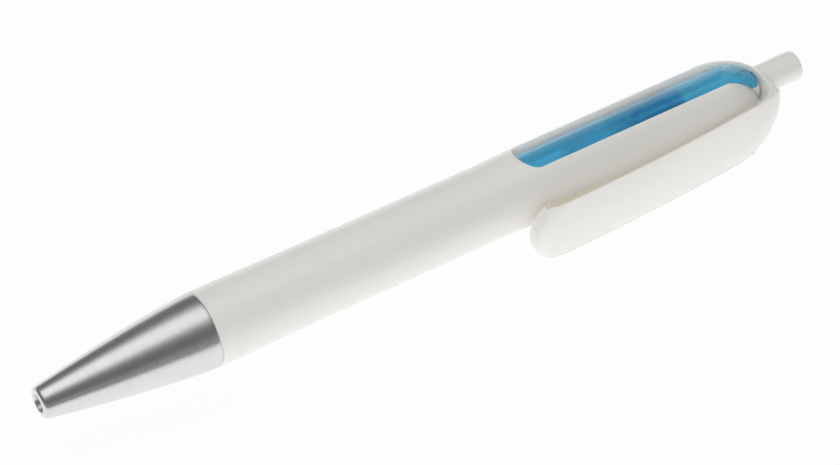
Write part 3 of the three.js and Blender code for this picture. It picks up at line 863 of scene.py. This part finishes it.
def finishTree(nodes, links, geometry, material):
    realize = nodes.new("GeometryNodeRealizeInstances")
    links.new(geometry, realize.inputs[0])
    coat = nodes.new("GeometryNodeSetMaterial")
    links.new(realize.outputs[0], coat.inputs["Geometry"])
    links.new(material, coat.inputs["Material"])
    links.new(coat.outputs[0], nodes.new("NodeGroupOutput").inputs[0])


def latheTree():
    tree, nodes, links, given = newTree("turnOnLathe", {"Segments": "Int"})
    calc = partial(mathNode, nodes, links)
    size = nodes.new("GeometryNodeAttributeDomainSize")
    links.new(given.outputs["Geometry"], size.inputs["Geometry"])
    count = size.outputs["Point Count"]
    grid = nodes.new("GeometryNodeMeshGrid")
    links.new(calc("ADD", given.outputs["Segments"], 1), grid.inputs["Vertices X"])
    links.new(count, grid.inputs["Vertices Y"])
    index = nodes.new("GeometryNodeInputIndex").outputs[0]
    turn = calc("FLOOR", calc("DIVIDE", calc("ADD", index, 0.5), count))
    place = calc("SUBTRACT", index, calc("MULTIPLY", turn, count))
    position = nodes.new("GeometryNodeInputPosition")
    sample = nodes.new("GeometryNodeSampleIndex")
    sample.data_type = "FLOAT_VECTOR"
    links.new(given.outputs["Geometry"], sample.inputs["Geometry"])
    links.new(position.outputs[0], sample.inputs["Value"])
    links.new(place, sample.inputs["Index"])
    parts = nodes.new("ShaderNodeSeparateXYZ")
    links.new(sample.outputs[0], parts.inputs[0])
    angle = calc("DIVIDE", calc("MULTIPLY", turn, 2 * math.pi), given.outputs["Segments"])
    where = nodes.new("ShaderNodeCombineXYZ")
    links.new(parts.outputs[0], where.inputs[0])
    links.new(calc("MULTIPLY", parts.outputs[1], calc("COSINE", angle)), where.inputs[1])
    links.new(calc("MULTIPLY", parts.outputs[1], calc("SINE", angle)), where.inputs[2])
    setPosition = nodes.new("GeometryNodeSetPosition")
    links.new(grid.outputs["Mesh"], setPosition.inputs["Geometry"])
    links.new(where.outputs[0], setPosition.inputs["Position"])
    finishTree(nodes, links, setPosition.outputs[0], given.outputs["Material"])
    return tree


def ringTree():
    # Copies of one rib or tooth, spaced evenly round the pen's axis
    tree, nodes, links, given = newTree("ribsRound", {"Count": "Int", "Start Angle": "Float"})
    calc = partial(mathNode, nodes, links)
    points = nodes.new("GeometryNodePoints")
    links.new(given.outputs["Count"], points.inputs["Count"])
    index = nodes.new("GeometryNodeInputIndex").outputs[0]
    turn = calc("DIVIDE", calc("MULTIPLY", index, 2 * math.pi), given.outputs["Count"])
    rotation = nodes.new("ShaderNodeCombineXYZ")
    links.new(calc("ADD", turn, given.outputs["Start Angle"]), rotation.inputs[0])
    place = nodes.new("GeometryNodeInstanceOnPoints")
    links.new(points.outputs[0], place.inputs["Points"])
    links.new(given.outputs["Geometry"], place.inputs["Instance"])
    links.new(rotation.outputs[0], place.inputs["Rotation"])
    finishTree(nodes, links, place.outputs[0], given.outputs["Material"])
    return tree


lathe, ribRing = latheTree(), ringTree()


def runTree(tree, mesh, values):
    holder = linkedObject("holder", mesh)
    modifier = holder.modifiers.new("nodes", "NODES")
    modifier.node_group = tree
    for item in tree.interface.items_tree:
        if item.in_out == "INPUT" and item.name in values:
            modifier[item.identifier] = values[item.name]
    made = evaluatedMesh(holder)
    bpy.data.objects.remove(holder)
    return made


def softProfile(corners, steps=5):
    # Corners are (x, radius, size of the rounding); the profile closes on itself.
    points = []
    count = len(corners)
    for i, corner in enumerate(corners):
        here = np.array(corner[:2], float)
        size = corner[2] if len(corner) > 2 else 0
        if not size:
            points.append(here)
            continue
        before = np.array(corners[i - 1][:2], float) - here
        after = np.array(corners[(i + 1) % count][:2], float) - here
        ends = []
        for way in (before, after):
            length = np.linalg.norm(way)
            ends.append(here + way / length * min(size, mostOfSide * length))
        points.extend(bezier(ends[0], here, ends[1], steps))
    points.append(points[0])
    return points


def turned(profile, segments, material):
    mesh = bpy.data.meshes.new("profile")
    mesh.from_pydata([(x * mm, r * mm, 0) for x, r in profile], [], [])
    return runTree(lathe, mesh, {"Segments": segments, "Material": material})


def sector(inner, outer, width, front, back, steps=6):
    # One rib: a slice of a tube about the direction +Y
    angles = np.radians(np.linspace(-width / 2, width / 2, steps + 1))
    ring = [(outer * math.cos(t), outer * math.sin(t)) for t in angles]
    ring += [(inner * math.cos(t), inner * math.sin(t)) for t in angles[::-1]]
    count = len(ring)
    points = [(front, y, z) for y, z in ring] + [(back, y, z) for y, z in ring]
    faces = gridFaces(2, count, 0, True)
    for i in range(steps):
        a, b, c, d = i, i + 1, count - 2 - i, count - 1 - i
        faces.append((a, b, c, d))
        faces.append((a + count, d + count, c + count, b + count))
    return meshFrom("rib", points, faces)


def tooth(inner, outer, width, root, tip, back):
    # One V-shaped tooth on a ring of teeth, about the direction +Y
    half = math.radians(width / 2)
    rows = []
    for angle, x in ((-half, root), (0, tip), (half, root)):
        for radius in (inner, outer):
            for place in (x, back):
                rows.append((place, radius * math.cos(angle), radius * math.sin(angle)))
    faces = [(0, 4, 6, 2), (4, 8, 10, 6), (1, 3, 7, 5), (5, 7, 11, 9), (0, 1, 5, 4), (4, 5, 9, 8),
             (2, 6, 7, 3), (6, 10, 11, 7), (0, 2, 3, 1), (8, 9, 11, 10)]
    return meshFrom("tooth", rows, faces)


def joined(name, meshes):
    work = bmesh.new()
    for mesh in meshes:
        work.from_mesh(mesh)
    mesh = bpy.data.meshes.new(name)
    work.to_mesh(mesh)
    work.free()
    return linkedObject(name, mesh)


# Nose cone

nose = {
    "length": 28.3,
    "radius": 6.2,
    "shoulder": 2.55,
    "tip": 2.1,
    "edge": 0.9,
    "swell": 1.33,
    "bore": 1.45,
    "boreLength": 4.6,
    "chamber": 2.5,
    "seat": 5.7,
    "spigot": 4.9,
    "spigotBore": 3.7,
    "spigotEnd": 36.5,
    "spigotChamfer": 0.3,
    "spigotSlope": 1.2,
    "mouthDepth": 0.12,
    "mouthEdge": 0.1,
    "seamEdge": 0.16,
    "mouthSteps": 12,
    "bodySteps": 60,
    "seamSteps": 5,
    "segments": 160,
}


def noseRadiusAt(x):
    left = 1 - x / nose["length"]
    return nose["radius"] - (nose["radius"] - nose["shoulder"]) * left ** nose["swell"]


def makeNose():
    edge = nose["edge"]
    profile = []
    for t in np.linspace(0, math.pi / 2, nose["mouthSteps"]):
        radius = nose["tip"] + (noseRadiusAt(edge) - nose["tip"]) * math.sin(t)
        profile.append((edge * (1 - math.cos(t)), radius))
    end = nose["length"] - nose["seamEdge"]
    profile += [(x, noseRadiusAt(x)) for x in np.linspace(edge, end, nose["bodySteps"])[1:]]
    back = noseRadiusAt(end)
    seam = bezier((end, back), (nose["length"], back), (nose["length"], back - nose["seamEdge"]),
                  nose["seamSteps"])
    profile += [tuple(point) for point in seam[1:]]
    profile += [
        (nose["length"], nose["spigot"]),
        (nose["spigotEnd"] - nose["spigotChamfer"], nose["spigot"]),
        (nose["spigotEnd"], nose["spigot"] - nose["spigotChamfer"]),
        (nose["spigotEnd"], nose["spigotBore"]),
        (nose["length"], nose["spigotBore"]),
        (nose["length"] - nose["spigotSlope"], nose["chamber"]),
        (nose["seat"], nose["chamber"]),
        (nose["boreLength"], nose["bore"]),
        (nose["mouthDepth"], nose["bore"]),
        (0, nose["bore"] + nose["mouthEdge"]),
    ]
    profile.append(profile[0])
    piece = joined("noseCone", [turned(profile, nose["segments"], satin)])
    finishPiece(piece, satin, "nose", ["nose_cone"], turnedSharp)


makeNose()


# Clear blue guide sleeve

sleeve = {
    "front": 36.8,
    "radius": 4.97,
    "domeStart": 124.9,
    "domeEnd": 130.9,
    "end": 129.75,
    "neck": 3.1,
    "hole": 2.62,
    "boreFront": 4.45,
    "boreBack": 4.03,
    "boreDomeStart": 124.9,
    "domeBoreEnd": 129.9,
    "plainFrom": 60.0,
    "boreStep": 84.0,
    "cut": -2.08,
    "cutFront": 122.6,
    "cutter": (10, 6, 14),
    "weldGap": 0.001,
    "straightSteps": 8,
    "domeSteps": 24,
    "segments": 144,
}


def domeProfile(start, end, radius, angles):
    # A quarter of an ellipse from its full radius at start to the axis at end
    return [(start + (end - start) * math.sin(t), radius * math.cos(t)) for t in angles]


def makeSleeve():
    profile = [(sleeve["front"], sleeve["boreFront"]), (sleeve["front"], sleeve["radius"])]
    plain = np.linspace(sleeve["plainFrom"], sleeve["domeStart"], sleeve["straightSteps"])
    profile += [(x, sleeve["radius"]) for x in plain]
    last = math.acos(sleeve["neck"] / sleeve["radius"])
    profile += domeProfile(sleeve["domeStart"], sleeve["domeEnd"], sleeve["radius"],
                           np.linspace(0, last, sleeve["domeSteps"])[1:])
    profile += [(sleeve["end"], sleeve["neck"]), (sleeve["end"], sleeve["hole"])]
    last = math.acos(sleeve["hole"] / sleeve["boreBack"])
    profile += domeProfile(sleeve["boreDomeStart"], sleeve["domeBoreEnd"], sleeve["boreBack"],
                           np.linspace(last, 0, sleeve["domeSteps"]))
    profile.append((sleeve["boreStep"], sleeve["boreFront"]))
    profile.append(profile[0])
    piece = joined("guideSleeve", [turned(profile, sleeve["segments"], blue)])
    cutSleeve(piece)
    finishPiece(piece, blue, "body", ["guide_sleeve"], turnedSharp)


def cutSleeve(piece):
    # The domed end is cut flat, just clear of the tongue.
    length, depth, height = sleeve["cutter"]
    box = solidFrom("flatCutter", bmesh.ops.create_cube, size=1)
    box.transform(Matrix.Diagonal((length * mm, depth * mm, height * mm, 1)))
    middle = ((sleeve["cutFront"] + length / 2) * mm, (sleeve["cut"] - depth / 2) * mm, 0)
    box.transform(Matrix.Translation(middle))
    work = bmesh.new()
    work.from_mesh(piece.data)
    bmesh.ops.remove_doubles(work, verts=work.verts, dist=sleeve["weldGap"] * mm)
    bmesh.ops.recalc_face_normals(work, faces=work.faces)
    work.to_mesh(piece.data)
    work.free()
    cutWith(piece, box)


makeSleeve()


# Button and click mechanism

button = {
    "radius": 2.5,
    "end": 138.9,
    "round": 0.735,
    "back": 116.9,
    "backRound": 0.15,
    "pin": 1.6,
    "pinFront": 113.7,
    "pinRound": 0.3,
    "roundSteps": 8,
    "segments": 96,
}
cams = {
    "radius": 3.35,
    "bore": 2.1,
    "ribs": 4,
    "teeth": 8,
    "depth": 0.9,
    "plungerCrown": 107.45,
    "plungerBack": 116.6,
    "rotorCrown": 107.15,
    "rotorHead": 104.65,
    "rotorFront": 94.75,
    "stem": 2.8,
    "pinSocket": 1.85,
    "pinSocketFront": 113.4,
    "refillSocket": 1.8,
    "refillSocketBack": 98.45,
    "through": 1.0,
    "throughStep": 1.0,
    "ribRadius": 4.0,
    "ribSunk": 0.4,
    "ribWidth": 14.0,
    "plungerRib": (109.65, 115.45),
    "rotorRib": (104.65, 106.95),
    "restTurn": 11.25,  # degrees that the rotor's ribs stand off from the plunger's at rest
    "toothWidth": 44.88,
    "toothBase": 0.3,
    "toothInset": 0.01,
    "plungerRound": 0.25,
    "stemRound": 0.5,
    "headRound": 0.12,
    "segments": 96,
    "sharp": 30,
}


def makeButton():
    corners = [(button["end"], 0), (button["end"], button["radius"], button["round"]),
               (button["back"], button["radius"], button["backRound"]), (button["back"], button["pin"]),
               (button["pinFront"], button["pin"], button["pinRound"]), (button["pinFront"], 0)]
    profile = softProfile(corners, button["roundSteps"])
    piece = joined("pushButton", [turned(profile, button["segments"], white)])
    finishPiece(piece, white, "button", ["push_button"], turnedSharp)


def camRibs(ends, start, material):
    rib = sector(cams["radius"] - cams["ribSunk"], cams["ribRadius"], cams["ribWidth"], *ends)
    return runTree(ribRing, rib, {"Count": cams["ribs"], "Start Angle": start, "Material": material})


def camTeeth(root, tip, back, start, material):
    inset = cams["toothInset"]
    one = tooth(cams["bore"] + inset, cams["radius"] - inset, cams["toothWidth"], root, tip, back)
    return runTree(ribRing, one, {"Count": cams["teeth"], "Start Angle": start, "Material": material})


def makePlunger():
    front, back = cams["plungerCrown"] + cams["depth"], cams["plungerBack"]
    corners = [(front, cams["radius"]), (back, cams["radius"], cams["plungerRound"]),
               (back, cams["pinSocket"]),
               (cams["pinSocketFront"], cams["pinSocket"]), (cams["pinSocketFront"], cams["bore"]),
               (front, cams["bore"])]
    body = turned(softProfile(corners), cams["segments"], camBlue)
    ribs = camRibs(cams["plungerRib"], math.pi / 2, camBlue)
    teeth = camTeeth(front, cams["plungerCrown"], front + cams["toothBase"], 0.0, camBlue)
    piece = joined("camPlunger", [body, ribs, teeth])
    finishPiece(piece, camBlue, "button", ["cam_plunger"], cams["sharp"])


def makeRotor():
    front, back = cams["rotorFront"], cams["rotorCrown"] - cams["depth"]
    corners = [(front, cams["stem"], cams["stemRound"]), (cams["rotorHead"], cams["stem"]),
               (cams["rotorHead"], cams["radius"], cams["headRound"]), (back, cams["radius"]),
               (back, cams["bore"]), (back - cams["throughStep"], cams["through"]),
               (cams["refillSocketBack"], cams["through"]),
               (cams["refillSocketBack"], cams["refillSocket"]), (front, cams["refillSocket"])]
    body = turned(softProfile(corners), cams["segments"], rotorBlue)
    ribs = camRibs(cams["rotorRib"], math.pi / 2 - math.radians(cams["restTurn"]), rotorBlue)
    teeth = camTeeth(back, cams["rotorCrown"], back - cams["toothBase"], math.pi / 8, rotorBlue)
    piece = joined("camRotor", [body, ribs, teeth])
    finishPiece(piece, rotorBlue, "rotor", ["cam_rotor"], cams["sharp"])


makeButton()
makePlunger()
makeRotor()


# Return spring: in the pen it sits between the barrel and the refill, here it is one fixed coil on no
# body. The wire and the coil are given by their radii.

spring = {
    "front": 6.0,
    "back": 24.3,
    "wire": 0.21,
    "mean": 1.84,
    "curls": 11,
    "steps": 40,
    "sides": 12,
    "sharp": 60,
}


def makeSpring():
    count = spring["curls"] * spring["steps"] + 1
    turn = np.linspace(0, 2 * math.pi * spring["curls"], count)
    x = np.linspace(spring["front"] + spring["wire"], spring["back"] - spring["wire"], count)
    outward = np.c_[np.zeros(count), np.sin(turn), np.cos(turn)]
    path = outward * spring["mean"]
    path[:, 0] = x
    ahead = np.gradient(path, axis=0)
    ahead /= np.linalg.norm(ahead, axis=1)[:, None]
    across = np.cross(ahead, outward)
    sides = spring["sides"]
    points = []
    for side in np.arange(sides) * 2 * math.pi / sides:
        points.append(path + spring["wire"] * (outward * math.cos(side) + across * math.sin(side)))
    points = np.stack(points, axis=1).reshape(-1, 3)
    piece = meshPiece("returnSpring", points, tubeFaces(count, sides), steel, None,
                      ["return_spring"], spring["sharp"])
    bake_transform(piece)


makeSpring()


# Refill: its parts keep their CAD shapes.

refillMaterials = {
    "refill_tube": clearTube,
    "refill_ink": inkPaste,
    "refill_holder": clearTube,
    "refill_nib": brass,
    "nib_ball": steel,
}
for name, material in refillMaterials.items():
    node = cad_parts[name]
    for slotItem in node.material_slots:
        slotItem.material = material
print("refill finished")


# Table, lights and camera

studio = {
    "tableSize": 1.6,
    "tableColor": (0.90, 0.90, 0.90),
    "tableGlow": 0.95,  # how much of the white that the camera sees on the table is its own
    "tent": 1.1,
    "tentTilt": 8.0,
    # Brightness of the tent by the sine of its height, from the horizon at 0 to overhead at 1
    "tentStops": ((0.0, 0.08), (0.05, 0.14), (0.10, 0.44), (0.17, 0.27), (0.28, 0.15), (0.55, 0.13),
                  (0.76, 0.17), (0.88, 0.44), (0.95, 0.98), (1.0, 1.0)),
    "dome": 0.33,
    # Name, place, point that it faces, size and watts of each lamp
    "lamps": (
        ("backLamp", (0.0, 0.50, 0.60), (0, 0, 0), (0.7, 0.4), 2.1),
        ("frontLamp", (-0.27, -0.45, 0.56), (0, 0, 0), (0.35, 0.3), 1.55),
        ("sideLamp", (-0.20, -0.70, 0.40), (0, 0, 0), (0.4, 0.2), 0.3),
        ("lightTable", (0, 0, 0.0003), (0, 0, 1), (1.2, 1.2), 2.3),
    ),
}
camera = {
    "axisPoint": 67,
    "distance": 0.56206,
    "sensor": 36.0,
    "lens": 154.29,
    "nearest": 0.01,
    # The pen's axis as it runs in the picture, the way down at right angles to it, and how far the
    # picture is turned from them
    "along": (0.9336, -0.2081, 0.2917),
    "down": (0, -0.8141, -0.5807),
    "turnCos": 0.91235,
    "turnSin": 0.4094,
}


def makeTable():
    half = studio["tableSize"] / 2
    mesh = bpy.data.meshes.new("table")
    mesh.from_pydata([(-half, -half, 0), (half, -half, 0), (half, half, 0), (-half, half, 0)], [],
                     [(0, 1, 2, 3)])
    table = linkedObject("table", mesh)
    material = bpy.data.materials.new("tablePaper")
    nodes, links = clearedTree(material)
    output = nodes.new("ShaderNodeOutputMaterial")
    paper = nodes.new("ShaderNodeBsdfDiffuse")
    paper.inputs["Color"].default_value = (*studio["tableColor"], 1)
    glow = nodes.new("ShaderNodeEmission")
    glow.inputs["Strength"].default_value = 1.0
    path = nodes.new("ShaderNodeLightPath")
    calc = partial(mathNode, nodes, links)
    part = calc("MULTIPLY", path.outputs["Is Camera Ray"], studio["tableGlow"])
    passed = calc("MAXIMUM", path.outputs["Is Transmission Ray"], path.outputs["Is Glossy Ray"])
    both = mixed(nodes, links, calc("MAXIMUM", part, passed), paper.outputs[0], glow.outputs[0])
    links.new(both, output.inputs["Surface"])
    mesh.materials.append(material)


def makeWorld():
    # A light tent: a bright panel overhead and darker walls, which glossy surfaces mirror, and plain
    # white for all that is seen straight or through clear plastic
    world = bpy.data.worlds.new("studio")
    bpy.context.scene.world = world
    nodes, links = clearedTree(world)
    output = nodes.new("ShaderNodeOutputWorld")
    coords = nodes.new("ShaderNodeTexCoord")
    tilt = nodes.new("ShaderNodeMapping")
    tilt.vector_type = "POINT"
    tilt.inputs["Rotation"].default_value = (math.radians(studio["tentTilt"]), 0, 0)
    parts = nodes.new("ShaderNodeSeparateXYZ")
    links.new(coords.outputs["Generated"], tilt.inputs["Vector"])
    links.new(tilt.outputs["Vector"], parts.inputs[0])
    ramp = nodes.new("ShaderNodeValToRGB")
    ramp.color_ramp.interpolation = "EASE"
    elements = ramp.color_ramp.elements
    while len(elements) < len(studio["tentStops"]):
        elements.new(0.5)
    for element, (place, value) in zip(elements, studio["tentStops"]):
        element.position = place
        element.color = (value, value, value, 1)
    links.new(parts.outputs[2], ramp.inputs["Fac"])
    tent, dome, plain = (nodes.new("ShaderNodeBackground") for _ in range(3))
    for light, strength in ((tent, studio["tent"]), (dome, studio["dome"]), (plain, 1)):
        light.inputs["Color"].default_value = (1, 1, 1, 1)
        light.inputs["Strength"].default_value = strength
    links.new(ramp.outputs["Color"], tent.inputs["Color"])
    path = nodes.new("ShaderNodeLightPath")
    mirrored = mixed(nodes, links, path.outputs["Is Glossy Ray"], dome.outputs[0], tent.outputs[0])
    seen = mathNode(nodes, links, "MAXIMUM", path.outputs["Is Camera Ray"],
                    path.outputs["Is Transmission Ray"])
    links.new(mixed(nodes, links, seen, mirrored, plain.outputs[0]), output.inputs["Surface"])


def areaLight(name, place, target, size, watts):
    data = bpy.data.lights.new(name, "AREA")
    data.shape = "RECTANGLE"
    data.size, data.size_y = size
    data.energy = watts
    light = linkedObject(name, data)
    light.location = place
    light.rotation_euler = (Vector(target) - Vector(place)).to_track_quat("-Z", "Y").to_euler()
    light.visible_glossy = False
    light.visible_camera = False
    light.visible_transmission = False


def makeCamera():
    along, down = Vector(camera["along"]), Vector(camera["down"])
    right = along * camera["turnCos"] + down * camera["turnSin"]
    up = along * camera["turnSin"] - down * camera["turnCos"]
    towards = right.cross(up).normalized()
    right.normalize()
    up = towards.cross(right)
    data = bpy.data.cameras.new("camera")
    data.sensor_width = camera["sensor"]
    data.lens = camera["lens"]
    data.clip_start = camera["nearest"]
    view = linkedObject("camera", data)
    rotation = Matrix((right, up, towards)).transposed().to_4x4()
    place = penPoint(camera["axisPoint"]) + towards * camera["distance"]
    view.matrix_world = Matrix.Translation(place) @ rotation
    bpy.context.scene.camera = view


makeTable()
makeWorld()
for lamp in studio["lamps"]:
    areaLight(*lamp)
makeCamera()
bpy.context.scene.view_settings.view_transform = "Standard"
print("studio made")
